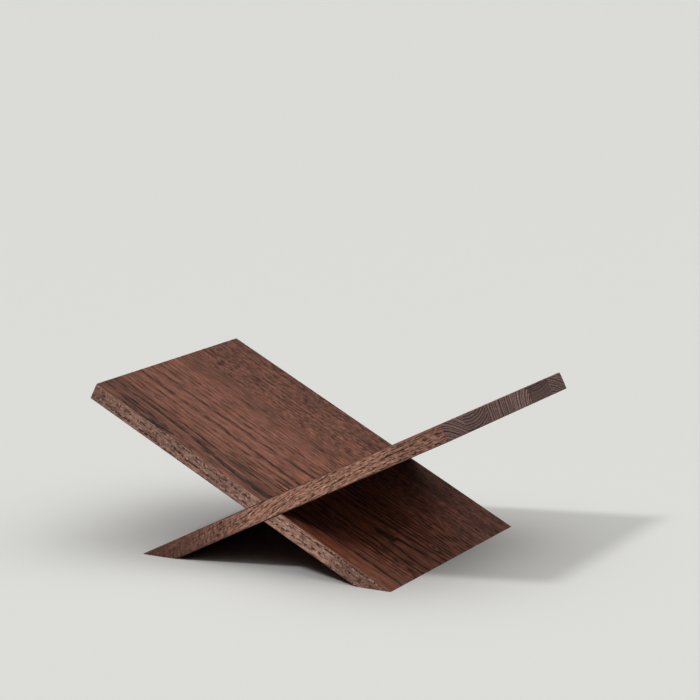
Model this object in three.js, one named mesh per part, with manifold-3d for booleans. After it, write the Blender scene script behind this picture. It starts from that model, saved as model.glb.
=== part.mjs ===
// A slot-together book stand of smoked oak: two boards, here called leaves, cross near the
// floor and hold each other up. Each leaf is edge-glued from staves and has one slot, cut from
// one edge to the middle of its depth. The two leaves are alike: the left one is the right one
// turned half round about the vertical, so slot runs into slot.
//
// Millimetres. +X right, +Y back, +Z up. The origin is on the floor, under the crossing.
// A leaf's own frame starts at the middle of the crossing: +X runs up the board along the
// grain, +Y from the leaf's closed edge to its slotted edge, +Z out of its upper face.

import * as THREE from 'three';
import * as BufferGeometryUtils from 'three/addons/utils/BufferGeometryUtils.js';
import Module from 'manifold-3d';

// ---- driving dimensions ----------------------------------------------------------------

const BOARD_DEPTH = 300; // closed edge to slotted edge, across the grain
const BOARD_THICKNESS = 20;
const RAKE = THREE.MathUtils.degToRad(27); // each leaf above the floor
const CROSSING_HEIGHT = 68; // floor to the middle of the crossing
const UPPER_ARM = 243; // middle of the crossing to the square upper end

const SLOT_CLEARANCE = 0.3; // on each face of the leaf that sits in a slot
const ROOT_CLEARANCE = 0.3; // between the roots of the two slots

const ARRIS_RADIUS = 1.5; // long edges, rounded over
const END_EASE = 1; // edges of the square upper end
const TIP_EASE = 1; // how far the sharp outer tip of a foot is blunted

// Glue lines between the staves of each leaf, as the end grain shows them: how far each lies
// from the middle of the depth, less than nothing towards the closed edge. The stave at each
// edge of the board is ripped to what is left of its depth.
const RIGHT_GLUE_LINES = [-102, -47, 13, 58, 112];
const LEFT_GLUE_LINES = [-102, -50, -16, 103];

// One tone of the stain for each stave, from the closed edge on.
const RIGHT_TONES = ['#7a5949', '#6b5047', '#6e5149', '#7a5a4b', '#55403a', '#5d463d'];
const LEFT_TONES = ['#4f3830', '#573d33', '#62402f', '#5e3d2e', '#7b5847'];

const STAIN_ROUGHNESS = 0.55;

// ---- sizes that follow -----------------------------------------------------------------

const halfThickness = BOARD_THICKNESS / 2;
const closedEdge = -BOARD_DEPTH / 2;
const slottedEdge = BOARD_DEPTH / 2;
const slotRoot = -ROOT_CLEARANCE / 2;

// Where the upper face meets the floor: how far down the board, and how far out on the floor.
const footRun = (CROSSING_HEIGHT + halfThickness * Math.cos(RAKE)) / Math.sin(RAKE);
const footReach = (CROSSING_HEIGHT * Math.cos(RAKE) + halfThickness) / Math.sin(RAKE);

// A cutter is longer than anything it cuts.
const CUTTER = 4 * (UPPER_ARM + footRun + BOARD_DEPTH);

// ---- solids ----------------------------------------------------------------------------

const manifold = await Module();
manifold.setup();

function solidFrom(geometry) {
  const bare = geometry.index ? geometry.toNonIndexed() : geometry.clone();
  bare.deleteAttribute('normal');
  bare.deleteAttribute('uv');
  const merged = BufferGeometryUtils.mergeVertices(bare);
  return new manifold.Manifold(new manifold.Mesh({
    numProp: 3,
    vertProperties: new Float32Array(merged.attributes.position.array),
    triVerts: new Uint32Array(merged.index.array),
  }));
}

function geometryFrom(solid) {
  const mesh = solid.getMesh();
  const geometry = new THREE.BufferGeometry();
  geometry.setAttribute('position', new THREE.BufferAttribute(mesh.vertProperties, 3));
  geometry.setIndex(new THREE.BufferAttribute(mesh.triVerts, 1));
  geometry.computeVertexNormals();
  return geometry;
}

// The section of a board, across its depth and its thickness, with rounded arrises.
function boardSection() {
  const side = slottedEdge;
  const top = halfThickness;
  const r = ARRIS_RADIUS;
  const section = new THREE.Shape();
  section.moveTo(-side + r, -top);
  section.lineTo(side - r, -top);
  section.absarc(side - r, -top + r, r, -Math.PI / 2, 0);
  section.lineTo(side, top - r);
  section.absarc(side - r, top - r, r, 0, Math.PI / 2);
  section.lineTo(-side + r, top);
  section.absarc(-side + r, top - r, r, Math.PI / 2, Math.PI);
  section.lineTo(-side, -top + r);
  section.absarc(-side + r, -top + r, r, Math.PI, 1.5 * Math.PI);
  return section;
}

// The raw board, planed and eased, before the foot is sawn off along the floor.
function rawBoard() {
  const rawFoot = footRun + BOARD_THICKNESS;
  const geometry = new THREE.ExtrudeGeometry(boardSection(), {
    depth: rawFoot + UPPER_ARM - 2 * END_EASE,
    curveSegments: 6,
    bevelEnabled: true,
    bevelThickness: END_EASE,
    bevelSize: END_EASE,
    bevelOffset: -END_EASE,
    bevelSegments: 3,
  });
  geometry.translate(0, 0, END_EASE - rawFoot);
  const alongTheGrain = new THREE.Matrix4().makeBasis(
    new THREE.Vector3(0, 1, 0),
    new THREE.Vector3(0, 0, 1),
    new THREE.Vector3(1, 0, 0),
  );
  return solidFrom(geometry.applyMatrix4(alongTheGrain));
}

// Everything above the floor and inside the blunted tip, seen from the leaf's own frame.
function standingSpace() {
  const geometry = new THREE.BoxGeometry(CUTTER, CUTTER, CUTTER);
  geometry.translate(CUTTER / 2 - footReach + TIP_EASE, 0, CUTTER / 2 - CROSSING_HEIGHT);
  return solidFrom(geometry.rotateY(RAKE));
}

// A slab square to the thickness of the leaf that crosses this one, from low to high.
function crossingSlab(low, high, front) {
  const geometry = new THREE.BoxGeometry(CUTTER, CUTTER, high - low);
  geometry.translate(0, front + CUTTER / 2, (low + high) / 2);
  return solidFrom(geometry.rotateY(2 * RAKE));
}

function acrossTheDepth(from, to) {
  const geometry = new THREE.BoxGeometry(CUTTER, to - from, CUTTER);
  return solidFrom(geometry.translate(0, (from + to) / 2, 0));
}

const sawnBoard = rawBoard().intersect(standingSpace());
const slotHalfWidth = halfThickness + SLOT_CLEARANCE;
const slot = crossingSlab(-slotHalfWidth, slotHalfWidth, slotRoot);
const aboveSlot = crossingSlab(slotHalfWidth, CUTTER, -CUTTER / 2);
const belowSlot = crossingSlab(-CUTTER, -slotHalfWidth, -CUTTER / 2);

// ---- the two leaves --------------------------------------------------------------------

// Where each stave starts, and where the last one ends.
function staveBounds(glueLines) {
  const inside = glueLines.filter((line) => line > closedEdge && line < slottedEdge);
  return [closedEdge, ...inside, slottedEdge];
}

function woodMesh(name, solid, tone) {
  const material = new THREE.MeshStandardMaterial({
    color: tone,
    roughness: STAIN_ROUGHNESS,
    metalness: 0,
    flatShading: true,
  });
  const mesh = new THREE.Mesh(geometryFrom(solid), material);
  mesh.name = name;
  return mesh;
}

// One stave: whole beside the slot, notched at its root, and in two pieces along it.
function stavePieces(name, from, to, tone) {
  const isFirst = from === closedEdge;
  const isLast = to === slottedEdge;
  const low = isFirst ? from - BOARD_THICKNESS : from;
  const high = isLast ? to + BOARD_THICKNESS : to;
  const stave = sawnBoard.intersect(acrossTheDepth(low, high));
  if (to <= slotRoot) return [woodMesh(name, stave, tone)];
  if (from < slotRoot) return [woodMesh(name, stave.subtract(slot), tone)];
  return [
    woodMesh(`${name}_upper`, stave.intersect(aboveSlot), tone),
    woodMesh(`${name}_lower`, stave.intersect(belowSlot), tone),
  ];
}

function leaf(name, glueLines, tones) {
  const group = new THREE.Group();
  const bounds = staveBounds(glueLines);
  for (let i = 0; i + 1 < bounds.length; i += 1) {
    const tone = tones[i % tones.length];
    group.add(...stavePieces(`${name}_stave_${i + 1}`, bounds[i], bounds[i + 1], tone));
  }
  group.rotation.y = -RAKE;
  group.position.z = CROSSING_HEIGHT;
  return group;
}

function bookStand() {
  const stand = new THREE.Group();
  stand.add(leaf('right_leaf', RIGHT_GLUE_LINES, RIGHT_TONES));
  const turned = new THREE.Group();
  turned.rotation.z = Math.PI;
  turned.add(leaf('left_leaf', LEFT_GLUE_LINES, LEFT_TONES));
  stand.add(turned);
  return stand;
}

export default bookStand();
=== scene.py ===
import math

import bpy
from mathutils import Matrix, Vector

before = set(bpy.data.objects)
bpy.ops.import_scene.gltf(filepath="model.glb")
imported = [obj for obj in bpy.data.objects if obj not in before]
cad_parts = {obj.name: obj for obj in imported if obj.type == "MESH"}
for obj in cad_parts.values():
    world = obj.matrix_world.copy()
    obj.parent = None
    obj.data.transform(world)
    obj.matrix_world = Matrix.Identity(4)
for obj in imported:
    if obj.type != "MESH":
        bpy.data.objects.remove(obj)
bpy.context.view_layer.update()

# ---- the boards ------------------------------------------------------------------------
# A leaf's own frame, in millimetres: u runs up the board from the middle of the crossing,
# v across it from the middle of its depth towards the slotted edge, w out of its upper face.

MM_PER_METRE = 1000
CROSSING_HEIGHT = 68
RAKE = math.radians(27)
HALF_DEPTH = 150
FOOT_END, UPPER_END = -170, 243


def front(distance, leaf):
    """v of a line that lies that far behind the front edge of the stand."""
    return distance - HALF_DEPTH if leaf == "right" else HALF_DEPTH - distance


# ---- nodes -----------------------------------------------------------------------------

# A Mix node has sockets for numbers and for colours, one after the other.
FACTOR, NUMBER_A, NUMBER_B, COLOUR_A, COLOUR_B = 0, 2, 3, 6, 7
COLOUR_OUT = 2


def linear(hex_colour, share=1.0):
    """An sRGB hex value as linear red, green, blue and alpha, made share times as bright."""
    channels = [int(hex_colour[i:i + 2], 16) / 255 for i in (1, 3, 5)]
    channels = [c / 12.92 if c <= 0.04045 else ((c + 0.055) / 1.055) ** 2.4 for c in channels]
    return [c * share for c in channels] + [1]


def add(tree, kind, inputs=(), out=0, **settings):
    """Adds a node, sets it, and fills or links its inputs, given in their order or by name.

    It gives the output asked for, or the node itself where that is None.
    """
    node = tree.nodes.new("ShaderNode" + kind)
    for name, value in settings.items():
        setattr(node, name, value)
    for name, value in inputs.items() if isinstance(inputs, dict) else enumerate(inputs):
        if isinstance(value, bpy.types.NodeSocket):
            tree.links.new(value, node.inputs[name])
        else:
            node.inputs[name].default_value = value
    return node if out is None else node.outputs[out]


def ease_through(ramp, stops):
    """Makes a node's ramp ease through (place, value) stops."""
    ramp.interpolation = "EASE"
    ramp.elements[0].position, ramp.elements[-1].position = stops[0][0], stops[-1][0]
    for at, _ in stops[1:-1]:
        ramp.elements.new(at)
    for element, (_, value) in zip(ramp.elements, stops):
        element.color = (value, value, value, 1)


# ---- smoked oak ------------------------------------------------------------------------
# Fumed and oiled, planed but not filled. It shows nearly black rows of open pores where each
# year's growth starts, brown late wood with fine fibre between them, and rays, which are
# flecks where the cut meets them and pale threads across the rings in the end grain.

FACE_BROWN = "#6f4739"
LIT_EDGE_BROWN = "#906857"  # long edges, sanded so they took less of the stain, and painted lighter still for the front light they catch
END_BROWN_AND_SHEEN = "#6d5551"  # greyer on the ends: partly the oil sunk into the end grain, partly painted sheen
PAINTED_SHADE_BROWN = "#5a3020"  # painted shade: redder, darker faces where the right leaf shades the left leaf's lower arm
FOOT_BROWN = "#4f332d"  # duller stretches of the long edges
LIT_PINK_BROWN = "#8a685b"  # the front stave's edge on the left leaf, painted lighter for the front light it catches
PORE_BROWN = "#190d0b"
GLINT_GREY = "#b09c90"  # pale grey of the glints in the pore rows: painted highlight

OIL_IOR = 1.42
OIL_SPECULAR = 0.18  # matt, because the oil is thin
WOOD_ROUGHNESS, PORE_ROUGHNESS = 0.60, 0.80
PORE_DEPTH = 0.0004  # metres, for the bump
PORE_BUMP, SMALL_PORE_BUMP = 0.6, 0.4

# Over a rounded arris a face turns into an edge or an end: the squared share of its facing
# where that begins and where it is done.
ARRIS = (0.55, 0.95)

# Each pattern of a stave has a seed of its own, this far above the stave's.
(SWAY, OPEN_PORES, SMALL_PORES, GLINTS, RAYS, FIBRE, CLOUDS, MOTTLE, FLECKS,
 TREMBLE) = range(10)
SEED_STEP = (3.17, 7.31, 5.53)  # how far one more of a seed shifts a pattern
NOISE_DETAIL, NOISE_ROUGHNESS = 1.0, 0.55

# The size of each pattern's marks along, across and through the board, in millimetres, and
# between which strengths of it they fade in. Open pores are 0.3 mm wide, too fine to show, and
# are drawn about 1 mm thick.
LONG_WAVE_SIZE, SHORT_WAVE_SIZE = (130, 30, 30), (16, 4, 4)
CLOUD_SIZE = (60, 14, 14)
OPEN_PORE_FADE = 0.08  # above the strength where a stave's pores start
SMALL_PORE_SIZE, SMALL_PORE_FADE = (4, 2.2, 1.2), (0.60, 0.72)
GLINT_FADE, GLINT_ROWS = (0.64, 0.72), 0.22
RAY_SIZE, RAY_FADE = (7, 1.6, 18), (0.56, 0.70)  # along, round the heart and out from it
RAY_CIRCLE = 0.8  # how far out the round is measured, as a share of the heart's distance
FLECK_SIZE, FLECK_SLANT = (10, 6, 2.4), math.radians(58)

# What each pattern adds to or takes from the tone, before a stave's own figures.
MEAN_LIGHT, DEEPEST = 1.08, 0.12
FIBRE_LIGHT, CLOUD_LIGHT, MOTTLE_LIGHT = 2.2, 0.3, 1.0
RAY_LIGHT, GLINT_LIGHT = 0.25, 0.6
RING_DARK, END_RING_DARK, SMALL_PORE_DARK = 0.45, 0.45, 0.25
SHOWN_ON_ENDS = 0.4  # fibre and mottle
GLINTS_ON_FACES = 0.1
WEAKEST_YEAR = 0.55
GOOD_AND_BAD = 0.45  # how fast good and bad years take turns

# A pin knot: how far the grain parts along and across the board, and how strongly; its eye is
# longer than it is wide, lies in a paler patch, and hides the grain near its middle.
PARTING, PARTING_PULL = (22, 13), -0.8
EYE_SHAPE, EYE_REACH, EYE_EDGE = (0.65, 1, 0), 8, (3, 6.5)
EYE_LIGHT = ((0, 0.05), (0.17, 0.1), (0.30, 1.6), (0.50, 1.7), (0.75, 1.2), (1, 1))

# How far from nothing the values of a profile may lie.
HEART_REACH, SHARE_REACH, SCALE_REACH, CRISP_REACH = 400, 1, 2, 4

LEVEL = [(FOOT_END, 0), (UPPER_END, 0)]

# How a stave was cut and what the smoke made of it. Each stave says where it differs, and adds
# its seed and its heart, the place (v, w) of the pith. A list of pairs is a smooth profile: a
# place along the board, from the foot to the upper end, and what holds there. Only lines and
# crisp go by the distance from the heart.
STAVE = dict(
    # The years' rings: one year's growth, where the first starts, how uneven they are, and how
    # far the pith strays from its place, out of the upper face and across the board.
    pitch=3.5, phase=0.0, uneven=1.3, rise=LEVEL, drift=LEVEL,
    # How far the grain wanders, slowly and from fibre to fibre.
    sway=4.0, tremble=1.0,
    # How dark the rings are, how the dark start of a year fades through it, how dark they are
    # on the ends, and how strong and how narrow they are at each distance from the heart.
    rings=1.0, band=((0.07, 1.0), (0.27, 0.85), (0.50, 0.12), (0.82, 0.0)), end_rings=2.6,
    lines=None, crisp=None,
    # How much of the grain shows, and how much longer its marks look on the faces.
    figure=None, stretch=2.2,
    # Open pores, the glints in them, painted as pale highlights, and the rays.
    pores=0.8, pore_size=(5, 3.4, 1.7), pore_rows=0.24, pore_start=0.64,
    glints=1.0, glint_size=(4, 2.6, 1.6), glint_paleness=0.2, rays=1.0,
    # Fibre, mottle, slanting flecks, and the place (u, v) of a pin knot.
    fibre=1.0, fibre_size=(14, 4, 1.8), mottle=1.0, mottle_size=(6, 4, 2.4), slant=None,
    knot=None,
    # How bright the tones are on faces, long edges (painted lighter) and ends, and how bright the
    # low ones; how much of
    # the low tones shows: painted shade on faces, duller foot brown on edges; and how much paler
    # the faces are: painted light.
    edge_tone=LIT_EDGE_BROWN, face=1.0, edge=1.0, end=1.0, low=1.0, face_painted_shade=LEVEL, low_edge=LEVEL,
    paler=None)


def board_place(tree, leaf):
    """Where a point lies in its leaf, in millimetres, and which way its surface faces there."""
    turn = (0, RAKE, 0) if leaf == "right" else (0, -RAKE, math.pi)
    start = (-CROSSING_HEIGHT * math.sin(RAKE), 0, -CROSSING_HEIGHT * math.cos(RAKE))
    here = add(tree, "TexCoord", out=None)
    place = add(tree, "Mapping", {
        "Vector": here.outputs["Object"], "Location": start, "Rotation": turn,
        "Scale": [MM_PER_METRE] * 3}, vector_type="POINT")
    facing = add(tree, "Mapping", {
        "Vector": here.outputs["Normal"], "Rotation": turn}, vector_type="VECTOR")
    return place, facing


def edges_and_ends(tree, facing):
    """How far a point is on a long edge and on an end, from 0 on the faces to 1."""
    turned = add(tree, "VectorMath", (facing, facing), operation="MULTIPLY")
    turned = add(tree, "SeparateXYZ", (turned,), out=None)
    return [add(tree, "MapRange", (turned.outputs[axis], *ARRIS, 0, 1),
                interpolation_type="SMOOTHSTEP") for axis in "YX"]


def streaks(tree, place, size, seed, out="Fac"):
    """Uneven streaks about size millimetres long, wide and thick, from 0 to 1."""
    cell = add(tree, "Mapping", {
        "Vector": place, "Location": [seed * step for step in SEED_STEP],
        "Scale": [1 / s for s in size]}, vector_type="POINT")
    return add(tree, "TexNoise", {"Vector": cell, "Scale": 1.0, "Detail": NOISE_DETAIL,
                                  "Roughness": NOISE_ROUGHNESS}, out)


def marks(tree, place, size, seed, fade, where=None, more=0.0):
    """Separate marks where streaks are strong, and more of them where that place calls for it."""
    streak = streaks(tree, place, size, seed)
    if where is not None:
        streak = add(tree, "Math", (where, more, streak), operation="MULTIPLY_ADD")
    return add(tree, "MapRange", (streak, *fade, 0, 1), interpolation_type="SMOOTHSTEP")


def profile(tree, at, points, reach):
    """A smooth line through (place, value) points; its values lie within reach of nothing."""
    first, last = points[0][0], points[-1][0]
    share = add(tree, "MapRange", (at, first, last, 0, 1))
    curve = add(tree, "FloatCurve", {"Factor": 1, "Value": share}, out=None)
    spots = [((p - first) / (last - first), 0.5 + y / (2 * reach)) for p, y in points]
    line = curve.mapping.curves[0]
    line.points[0].location, line.points[-1].location = spots[0], spots[-1]
    for spot in spots[1:-1]:
        line.points.new(*spot)
    for point in line.points:
        point.handle_type = "AUTO_CLAMPED"
    curve.mapping.use_clip = False
    curve.mapping.update()
    return add(tree, "MapRange", (curve.outputs[0], 0, 1, -reach, reach), clamp=False)


def wandering(tree, place, cut):
    """The grain wanders slowly along the board and trembles from fibre to fibre."""
    for size, reach, pattern in ((LONG_WAVE_SIZE, cut["sway"], SWAY),
                                 (SHORT_WAVE_SIZE, cut["tremble"], TREMBLE)):
        wave = streaks(tree, place, size, cut["seed"] + pattern, "Color")
        wave = add(tree, "VectorMath", (wave, (0.5, 0.5, 0.5)), operation="SUBTRACT")
        place = add(tree, "VectorMath", (wave, (0, reach, reach), place),
                    operation="MULTIPLY_ADD")
    return place


def pin_knot(tree, place, spot):
    """The grain parts round a small knot, whose dark eye lies in a paler patch."""
    away = add(tree, "VectorMath", (place, (*spot, 0)), operation="SUBTRACT")
    parting = (1 / PARTING[0], 1 / PARTING[1], 0)
    reach = add(tree, "VectorMath", (away, parting), operation="MULTIPLY")
    reach = add(tree, "VectorMath", (reach,), "Value", operation="LENGTH")
    pull = add(tree, "MapRange", (reach, 0, 1, PARTING_PULL, 0), interpolation_type="SMOOTHSTEP")
    aside = add(tree, "VectorMath", (away, (0, 1, 0)), operation="MULTIPLY")
    aside = add(tree, "VectorMath", {0: aside, "Scale": pull}, operation="SCALE")
    parted = add(tree, "VectorMath", (place, aside), operation="ADD")

    across = add(tree, "VectorMath", (away, EYE_SHAPE), operation="MULTIPLY")
    across = add(tree, "VectorMath", (across,), "Value", operation="LENGTH")
    eye = add(tree, "ValToRGB", (add(tree, "MapRange", (across, 0, EYE_REACH, 0, 1)),), None)
    ease_through(eye.color_ramp, EYE_LIGHT)
    inside = add(tree, "MapRange", (across, *EYE_EDGE, 1, 0), interpolation_type="SMOOTHSTEP")
    return parted, eye.outputs[0], inside


def year_rings(tree, u, grown, figure, cut):
    """The way out from the heart, how far that is, and the dark starts of the years."""
    v, w = cut["heart"]
    heart = add(tree, "CombineXYZ", (
        u, profile(tree, u, [(p, y + v) for p, y in cut["drift"]], HEART_REACH),
        profile(tree, u, [(p, y + w) for p, y in cut["rise"]], HEART_REACH)))
    outwards = add(tree, "VectorMath", (grown, heart), operation="SUBTRACT")
    outwards = add(tree, "VectorMath", (outwards, (0, 1, 1)), operation="MULTIPLY")
    radius = add(tree, "VectorMath", (outwards,), "Value", operation="LENGTH")

    years = add(tree, "Math", (radius, 1 / cut["pitch"], cut["phase"]), operation="MULTIPLY_ADD")
    turns = add(tree, "Math", (years, GOOD_AND_BAD, cut["seed"]), operation="MULTIPLY_ADD")
    turns = add(tree, "TexNoise", {"W": turns, "Scale": 1.0, "Detail": 0.0},
                noise_dimensions="1D")
    years = add(tree, "Math", (turns, cut["uneven"], years), operation="MULTIPLY_ADD")

    season = add(tree, "Math", (years,), operation="FRACT")
    if cut["crisp"]:
        narrow = profile(tree, radius, cut["crisp"], CRISP_REACH)
        season = add(tree, "Math", (season, narrow), operation="MULTIPLY")
    early = add(tree, "ValToRGB", (season,), None)
    ease_through(early.color_ramp, ((0, 0), *cut["band"], (1, 0)))
    if cut["lines"]:
        growth = profile(tree, radius, cut["lines"], SCALE_REACH)
    else:
        year = add(tree, "Math", (years,), operation="FLOOR")
        growth = add(tree, "TexWhiteNoise", {"W": year}, "Value", noise_dimensions="1D")
        growth = add(tree, "MapRange", (growth, 0, 1, WEAKEST_YEAR, 1))
    early = add(tree, "Math", (early.outputs[0], growth), operation="MULTIPLY")
    early = add(tree, "Math", (early, figure), operation="MULTIPLY")
    return outwards, radius, early


def board_grain(tree, u, outwards, on_edge, cut):
    """A place for marks that run along the board and look longer on the faces.

    There a pore is cut at a flat angle.
    """
    flat = add(tree, "SeparateXYZ", (outwards,), out=None)
    length = add(tree, "MapRange", (on_edge, 0, 1, 1 / cut["stretch"], 1))
    along = add(tree, "Math", (u, length), operation="MULTIPLY")
    return add(tree, "CombineXYZ", (along, flat.outputs["Y"], flat.outputs["Z"]))


def ray_flecks(tree, u, outwards, radius, cut):
    """Rays run out from the heart, thin round it and tall along the board."""
    flat = add(tree, "SeparateXYZ", (outwards,), out=None)
    angle = add(tree, "Math", (flat.outputs["Z"], flat.outputs["Y"]), operation="ARCTAN2")
    heart_distance = math.hypot(*cut["heart"])
    arc = add(tree, "Math", (angle, heart_distance * RAY_CIRCLE), operation="MULTIPLY")
    place = add(tree, "CombineXYZ", (u, arc, radius))
    return marks(tree, place, RAY_SIZE, cut["seed"] + RAYS, RAY_FADE)


def fibre_and_mottle(tree, grain, on_end, figure, cut):
    """How light fibre, clouds and mottle make the wood; they hardly show on the ends."""
    light = 0.0
    for pattern, size, share in (
            (FIBRE, cut["fibre_size"], FIBRE_LIGHT * cut["fibre"]),
            (CLOUDS, CLOUD_SIZE, CLOUD_LIGHT * cut["mottle"]),
            (MOTTLE, cut["mottle_size"], MOTTLE_LIGHT * cut["mottle"])):
        shade = streaks(tree, grain, size, cut["seed"] + pattern)
        light = add(tree, "Math", (shade, share, light), operation="MULTIPLY_ADD")
        light = add(tree, "Math", (light, share / 2), operation="SUBTRACT")
    shown = add(tree, "MapRange", (on_end, 0, 1, 1, SHOWN_ON_ENDS))
    shown = add(tree, "Math", (shown, figure), operation="MULTIPLY")
    return add(tree, "Math", (light, shown, MEAN_LIGHT), operation="MULTIPLY_ADD")


def stave_tone(tree, u, on_edge, on_end, cut):
    """The tone by face: lighter long edges, painted shade and painted light on faces, and edges
    duller towards the foot, where the stave says.
    """
    face, edge = [
        add(tree, "Mix", {FACTOR: profile(tree, u, share, SHARE_REACH),
                          COLOUR_A: tone, COLOUR_B: linear(low, cut["low"])},
            COLOUR_OUT, data_type="RGBA")
        for share, tone, low in (
            (cut["face_painted_shade"], linear(FACE_BROWN, cut["face"]), PAINTED_SHADE_BROWN),
            (cut["low_edge"], linear(cut["edge_tone"], cut["edge"]), FOOT_BROWN))]
    # Painted light: the faces are made paler or darker along the board, brightest where light
    # falls on the lower arm.
    if cut["paler"]:
        paler = profile(tree, u, cut["paler"], SCALE_REACH)
        face = add(tree, "VectorMath", {0: face, "Scale": paler}, operation="SCALE")
    tone = face
    for where, other in ((on_edge, edge), (on_end, linear(END_BROWN_AND_SHEEN, cut["end"]))):
        tone = add(tree, "Mix", {FACTOR: where, COLOUR_A: tone, COLOUR_B: other},
                   COLOUR_OUT, data_type="RGBA")
    return tone


def smoked_oak(name, leaf, differences):
    cut = {**STAVE, **differences}
    seed = cut["seed"]
    material = bpy.data.materials.new(name)
    material.use_nodes = True
    tree = material.node_tree
    shader = tree.nodes["Principled BSDF"]
    place, facing = board_place(tree, leaf)
    u = add(tree, "SeparateXYZ", (place,))
    on_edge, on_end = edges_and_ends(tree, facing)
    figure = profile(tree, u, cut["figure"], SHARE_REACH) if cut["figure"] else 1.0

    grown = wandering(tree, place, cut)
    if cut["knot"]:
        grown, eye, in_knot = pin_knot(tree, grown, cut["knot"])
    outwards, radius, early = year_rings(tree, u, grown, figure, cut)
    ringed = add(tree, "Math", (on_end, early), operation="MULTIPLY")
    grain = board_grain(tree, u, outwards, on_edge, cut)

    # Pores lie in rows in the early wood; on the ends they show nowhere else.
    start = cut["pore_start"]
    open_pores = marks(tree, grain, cut["pore_size"], seed + OPEN_PORES,
                       (start, start + OPEN_PORE_FADE), early, cut["pore_rows"])
    open_pores = add(tree, "Math", (open_pores, figure), operation="MULTIPLY")
    on_ring = add(tree, "Math", (1.0, on_end), operation="SUBTRACT")
    on_ring = add(tree, "Math", (on_ring, ringed), operation="ADD")
    open_pores = add(tree, "Math", (open_pores, on_ring), operation="MULTIPLY")
    small_pores = marks(tree, grain, SMALL_PORE_SIZE, seed + SMALL_PORES, SMALL_PORE_FADE)
    # Glints are painted highlights in the pore rows, strongest on the long edges.
    glints = marks(tree, grain, cut["glint_size"], seed + GLINTS, GLINT_FADE, early, GLINT_ROWS)
    glinting = add(tree, "MapRange", (on_edge, 0, 1, GLINTS_ON_FACES, 1))
    glints = add(tree, "Math", (glints, glinting), operation="MULTIPLY")

    # Light and dark, from the pores' brown at 0 to the tone at 1: what each pattern adds.
    light = fibre_and_mottle(tree, grain, on_end, figure, cut)
    for pattern, share in ((ray_flecks(tree, u, outwards, radius, cut), RAY_LIGHT * cut["rays"]),
                           (glints, GLINT_LIGHT * cut["glints"]),
                           (early, -RING_DARK * cut["rings"]),
                           (small_pores, -SMALL_PORE_DARK * cut["pores"])):
        light = add(tree, "Math", (pattern, share, light), operation="MULTIPLY_ADD")
    if cut["slant"]:
        share = profile(tree, u, cut["slant"], SCALE_REACH)
        slanted = add(tree, "Mapping", {
            "Vector": grown, "Rotation": (0, FLECK_SLANT, 0)}, vector_type="POINT")
        flecks = streaks(tree, slanted, FLECK_SIZE, seed + FLECKS)
        flecks = add(tree, "Math", (flecks, 0.5), operation="SUBTRACT")
        light = add(tree, "Math", (flecks, share, light), operation="MULTIPLY_ADD")
    light = add(tree, "Math", (ringed, -END_RING_DARK * cut["end_rings"], light),
                operation="MULTIPLY_ADD")
    deep = add(tree, "Math", (open_pores, -cut["pores"], 1.0), operation="MULTIPLY_ADD")
    light = add(tree, "Math", (light, deep), operation="MULTIPLY")
    if cut["knot"]:
        light = add(tree, "Mix", {FACTOR: in_knot, NUMBER_A: light, NUMBER_B: eye})
    light = add(tree, "Math", (light, DEEPEST), operation="MAXIMUM")

    tone = stave_tone(tree, u, on_edge, on_end, cut)
    colour = add(tree, "Mix", {FACTOR: light, COLOUR_A: linear(PORE_BROWN), COLOUR_B: tone},
                 COLOUR_OUT, data_type="RGBA", clamp_factor=False)
    # Painted highlight: the glints turn the colour towards a pale grey.
    pale_glints = add(tree, "Math", (glints, cut["glint_paleness"]), operation="MULTIPLY")
    colour = add(tree, "Mix", {FACTOR: pale_glints, COLOUR_A: colour, COLOUR_B: linear(GLINT_GREY)},
                 COLOUR_OUT, data_type="RGBA")
    tree.links.new(colour, shader.inputs["Base Color"])

    rough = add(tree, "MapRange", (open_pores, 0, 1, WOOD_ROUGHNESS, PORE_ROUGHNESS))
    tree.links.new(rough, shader.inputs["Roughness"])
    height = add(tree, "Math", (small_pores, -SMALL_PORE_BUMP, 1.0), operation="MULTIPLY_ADD")
    height = add(tree, "Math", (height, open_pores), operation="SUBTRACT")
    bump = add(tree, "Bump", {"Strength": PORE_BUMP, "Distance": PORE_DEPTH, "Height": height})
    tree.links.new(bump, shader.inputs["Normal"])
    shader.inputs["IOR"].default_value = OIL_IOR
    shader.inputs["Specular IOR Level"].default_value = OIL_SPECULAR
    return material


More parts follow.
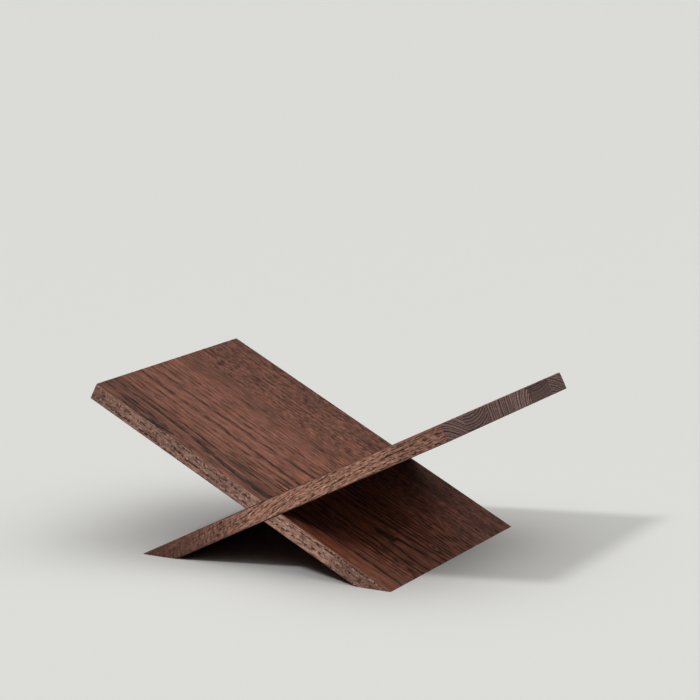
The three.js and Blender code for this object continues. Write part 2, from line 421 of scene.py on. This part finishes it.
# The right leaf, from the front edge back; its end grain shows how each stave was cut.
RIGHT_STAVES = {
    1: dict(seed=11, heart=(front(-45, "right"), -185), pitch=3.1, sway=2.0, rings=1.9,
            rise=[(-170, -22), (-100, -17), (-35, -9), (0, -1.5), (40, 7), (80, 12),
                  (120, 15.5), (160, 17), (190, 17.5), (243, 17.5)],
            figure=[(-170, 0.25), (-115, 0.35), (-60, 0.6), (-30, 0.9), (120, 0.9), (170, 1),
                    (243, 1)],
            pores=0.85, pore_size=(7, 2.4, 1.2), pore_start=0.66, pore_rows=0.26, glint_paleness=0.1,
            fibre=1.6, fibre_size=(6, 2.4, 1.0), mottle=0.4,
            slant=[(-170, 1.4), (-110, 1.8), (-60, 2.6), (-25, 0), (243, 0)],
            face=0.78, edge=1.17, end=1.08, low=1.1,
            low_edge=[(-170, 0.92), (-135, 0.9), (-98, 0.78), (-60, 0.58), (-20, 0.08), (0, 0),
                      (150, 0.05), (200, 0.35), (243, 0.45)]),
    2: dict(seed=23, heart=(front(62, "right"), 84), pitch=3.1, uneven=0.6, sway=2.0,
            rings=1.3, end_rings=3.6, pores=0.5, face=0.75, end=0.9),
    3: dict(seed=35, heart=(front(224, "right"), -20), pitch=5.3, sway=3.0, rings=0.8,
            end_rings=2.8, pores=0.5, face=0.75, end=1.05),
    4: dict(seed=47, heart=(front(224, "right"), -20), pitch=4.4, sway=3.0, end_rings=3.4,
            pores=0.5, face=0.8, end=1.4),
    5: dict(seed=59, heart=(front(223, "right"), 150), pitch=3.1, uneven=0.6, sway=2.0,
            end_rings=1.8, lines=[(130, 1), (147, 0.9), (152, 0.4), (170, 0.4)], pores=0.5,
            face=0.7, end=0.6),
    6: dict(seed=71, heart=(front(235, "right"), -110), pitch=3.2, end_rings=2.8, pores=0.5,
            face=0.75, end=0.95),
}

# The left leaf, from the back edge to the front: its faces carry painted shade, redder and darker
# under the right leaf near the crossing, and painted light further down; its fourth stave is
# flat-sawn and wide, with a pin knot.
LEFT_FIGURE = [(-170, 1), (-20, 1), (40, 0.7), (150, 0.6), (243, 0.6)]
# Painted shade: how much of the shade brown the faces take along the board, most under the right
# leaf near the crossing.
LEFT_PAINTED_SHADE = [(-170, 0.35), (-145, 0.4), (-110, 0.65), (-85, 1.0), (-30, 0.8), (10, 0.2),
            (50, 0), (243, 0)]
LEFT_HALF_PAINTED_SHADE = [(place, share / 2) for place, share in LEFT_PAINTED_SHADE]
# Painted light: the faces are brighter about 112 mm down the lower arm, where it comes out of the
# right leaf's shade, and a little darker elsewhere.
LEFT_PAINTED_LIGHT_AND_TONE = [(-170, 0.88), (-145, 0.95), (-112, 1.2), (-80, 0.95), (0, 0.88), (80, 0.9),
              (243, 0.84)]
LEFT_MIDDLE_PAINTED_LIGHT_AND_TONE = [(-170, 0.80), (-145, 0.88), (-112, 1.2), (-80, 0.85), (0, 0.72),
                     (80, 0.7), (243, 0.66)]
QUARTER_SAWN = dict(pitch=5.0, tremble=3.0, rings=0.5, pores=0.4, rays=2.2, mottle=2.7,
                    mottle_size=(3.2, 5, 3))

LEFT_STAVES = {
    1: dict(QUARTER_SAWN, seed=83, heart=(front(330, "left"), -70), face=0.62, low=0.75,
            face_painted_shade=LEFT_PAINTED_SHADE, paler=LEFT_PAINTED_LIGHT_AND_TONE),
    2: dict(QUARTER_SAWN, seed=95, heart=(front(290, "left"), -50), face=0.92, low=1.25,
            face_painted_shade=LEFT_HALF_PAINTED_SHADE, paler=LEFT_MIDDLE_PAINTED_LIGHT_AND_TONE),
    3: dict(seed=107, heart=(front(100, "left"), -50), pitch=5.2, uneven=0.4, sway=2.0,
            rings=1.2, figure=LEFT_FIGURE, pore_size=(5.5, 4, 2.4), pore_start=0.67,
            pore_rows=0.28, fibre=1.3, fibre_size=(8, 5, 3), face=0.96, low=2.3,
            face_painted_shade=LEFT_HALF_PAINTED_SHADE, paler=LEFT_MIDDLE_PAINTED_LIGHT_AND_TONE),
    4: dict(seed=119, heart=(front(97, "left"), -50), pitch=4.25, phase=0.965, uneven=0.0,
            rise=[(-170, 1.7), (-163, 1.68), (-140, 1.17), (-127, 0.8), (-117, 0.4), (-110, 0),
                  (-102, -0.27), (-95, -0.41), (-88, -0.49), (-81, -0.52), (-38, -1.6),
                  (60, -3), (243, -3.5)],
            drift=[(-170, -8), (-140, -5), (-110, -4), (-81, -2), (-38, -1), (60, 0),
                   (243, -2)],
            sway=0.7, tremble=0.4, rings=1.5,
            band=((0.06, 1.0), (0.24, 0.9), (0.33, 0.1), (0.50, 0.0)),
            lines=[(55, 1.1), (61, 1.1), (64.5, 1.3), (67, 1.0), (76, 1.0), (82, 0.8),
                   (90, 0.8)],
            crisp=[(55, 1.3), (62, 1.3), (64.5, 1.0), (68, 0.7), (76, 0.7), (82, 0.9),
                   (90, 0.9)],
            figure=LEFT_FIGURE, pore_size=(5.5, 4, 2.4), pore_start=0.70, pore_rows=0.32,
            fibre=1.4, fibre_size=(8, 5, 3), knot=(-145, front(142, "left")),
            face=0.95, low=1.4, face_painted_shade=LEFT_PAINTED_SHADE, paler=LEFT_PAINTED_LIGHT_AND_TONE),
    5: dict(seed=131, heart=(front(6, "left"), -30), pitch=7.6, phase=0.707, uneven=0.0,
            rise=[(-170, 4.2), (-150, 4.2), (-40, 1.5), (10, 0), (40, 0), (72, 0.6),
                  (100, 2.4), (142, 5.3), (172, 6.7), (243, 8.2)],
            sway=1.2, tremble=0.8, rings=1.5,
            band=((0.05, 1.0), (0.20, 0.9), (0.38, 0.15), (0.60, 0.0)),
            figure=[(-170, 0.85), (-110, 1), (120, 1), (190, 0.9), (243, 0.7)], stretch=5,
            pores=0.95, pore_size=(3.2, 2.4, 1.5), pore_start=0.66, pore_rows=0.28,
            glints=1.6, glint_size=(3, 2.2, 1.4), glint_paleness=0.3, fibre=1.3, fibre_size=(8, 4, 1.8),
            edge_tone=LIT_PINK_BROWN, face=0.70, edge=1.2, low=1.1,
            # Painted shade on the faces, then the duller foot brown on the edge, then painted
            # light on the faces.
            face_painted_shade=[(-170, 0.1), (-120, 0.4), (-60, 1.0), (-20, 0.8), (20, 0.2), (60, 0),
                      (243, 0)],
            low_edge=[(-170, 0.7), (-145, 0.65), (-100, 0.35), (-75, 0), (-20, 0), (35, 0.3),
                      (70, 0.5), (105, 0.3), (142, 0.4), (182, 0.35), (222, 0.5), (243, 0.5)],
            paler=[(-170, 1.05), (-145, 1.1), (-112, 1.15), (-80, 0.87), (0, 0.85), (80, 0.9),
                   (243, 0.78)]),
}


def dress_staves():
    for leaf, staves in (("right", RIGHT_STAVES), ("left", LEFT_STAVES)):
        for number, differences in staves.items():
            oak = smoked_oak(f"smoked_oak_{leaf}_{number}", leaf, differences)
            stave = f"{leaf}_leaf_stave_{number}"
            for name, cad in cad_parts.items():
                if name == stave or name.startswith(stave + "_"):
                    cad.data.materials.clear()
                    cad.data.materials.append(oak)


# ---- studio ----------------------------------------------------------------------------

FLOOR_REACH = 40  # metres
FLOOR_GREY, FLOOR_ROUGHNESS = "#bcbcba", 0.9
STUDIO_WHITE = "#fcfcfa"
FILL_LIGHT = 0.03
# Each softbox: where it hangs, how near its middle its edge and its full part are, as the
# cosine of the angle from the middle, and how bright it is.
SOFTBOXES = (((0.1, 0.0, 0.97), 0.45, 0.98, 1.72),
             ((0.45, 0.3, 0.84), 0.80, 1.00, 1.4))
BACKDROP = 0.7
KEY_STRENGTH, KEY_SPREAD = 1.55, math.radians(9)
KEY_DIRECTION = (0.335, 0.525, -0.785)


def pale_floor():
    """Matt paper, which shows no gloss and takes soft shadows."""
    corners = [(x * FLOOR_REACH, y * FLOOR_REACH, 0)
               for x, y in ((-1, -1), (1, -1), (1, 1), (-1, 1))]
    floor_mesh = bpy.data.meshes.new("floor")
    floor_mesh.from_pydata(corners, [], [(0, 1, 2, 3)])
    floor = bpy.data.objects.new("floor", floor_mesh)
    paper = bpy.data.materials.new("pale paper floor")
    paper.use_nodes = True
    shader = paper.node_tree.nodes["Principled BSDF"]
    shader.inputs["Base Color"].default_value = linear(FLOOR_GREY)
    shader.inputs["Roughness"].default_value = FLOOR_ROUGHNESS
    floor_mesh.materials.append(paper)
    bpy.context.scene.collection.objects.link(floor)


def soft_light():
    """Two softboxes overhead, a little light from all round, and a broad key from the left."""
    world = bpy.data.worlds.new("studio")
    bpy.context.scene.world = world
    world.use_nodes = True
    tree = world.node_tree
    direction = add(tree, "TexCoord", out="Generated")
    strength = FILL_LIGHT
    for towards, edge, middle, power in SOFTBOXES:
        facing = add(tree, "VectorMath", (direction, Vector(towards).normalized()), "Value",
                     operation="DOT_PRODUCT")
        softbox = add(tree, "MapRange", (facing, edge, middle, 0, power),
                      interpolation_type="SMOOTHSTEP")
        strength = add(tree, "Math", (softbox, strength), operation="ADD")
    # Seen past the floor in low views, the backdrop is pale, but it lights nothing.
    seen = add(tree, "LightPath", out="Is Camera Ray")
    strength = add(tree, "Math", (seen, BACKDROP, strength), operation="MULTIPLY_ADD")
    background = tree.nodes["Background"]
    tree.links.new(strength, background.inputs["Strength"])
    background.inputs["Color"].default_value = linear(STUDIO_WHITE)

    key = bpy.data.lights.new("key softbox", "SUN")
    key.energy = KEY_STRENGTH
    key.angle = KEY_SPREAD
    lamp = bpy.data.objects.new("key softbox", key)
    lamp.rotation_euler = Vector(KEY_DIRECTION).to_track_quat("-Z", "Y").to_euler()
    bpy.context.scene.collection.objects.link(lamp)


# ---- camera ----------------------------------------------------------------------------
# The photograph's viewpoint, fitted to corners of the stand.

LENS, SENSOR = 133.98, 36  # millimetres
FARTHEST_SEEN = 100  # metres
CAMERA_PLACE = (1.3738, -2.4867, 0.7833)
CAMERA_TURN, CAMERA_DOWN = math.radians(-28.483), math.radians(11.243)


def camera():
    lens = bpy.data.cameras.new("camera")
    lens.lens = LENS
    lens.sensor_width = SENSOR
    lens.clip_end = FARTHEST_SEEN
    made = bpy.data.objects.new("camera", lens)
    made.location = CAMERA_PLACE
    look = Vector((math.sin(CAMERA_TURN) * math.cos(CAMERA_DOWN),
                   math.cos(CAMERA_TURN) * math.cos(CAMERA_DOWN), -math.sin(CAMERA_DOWN)))
    made.rotation_euler = look.to_track_quat("-Z", "Y").to_euler()
    bpy.context.scene.collection.objects.link(made)
    bpy.context.scene.camera = made


dress_staves()
pale_floor()
soft_light()
camera()
bpy.context.scene.view_settings.view_transform = "Standard"
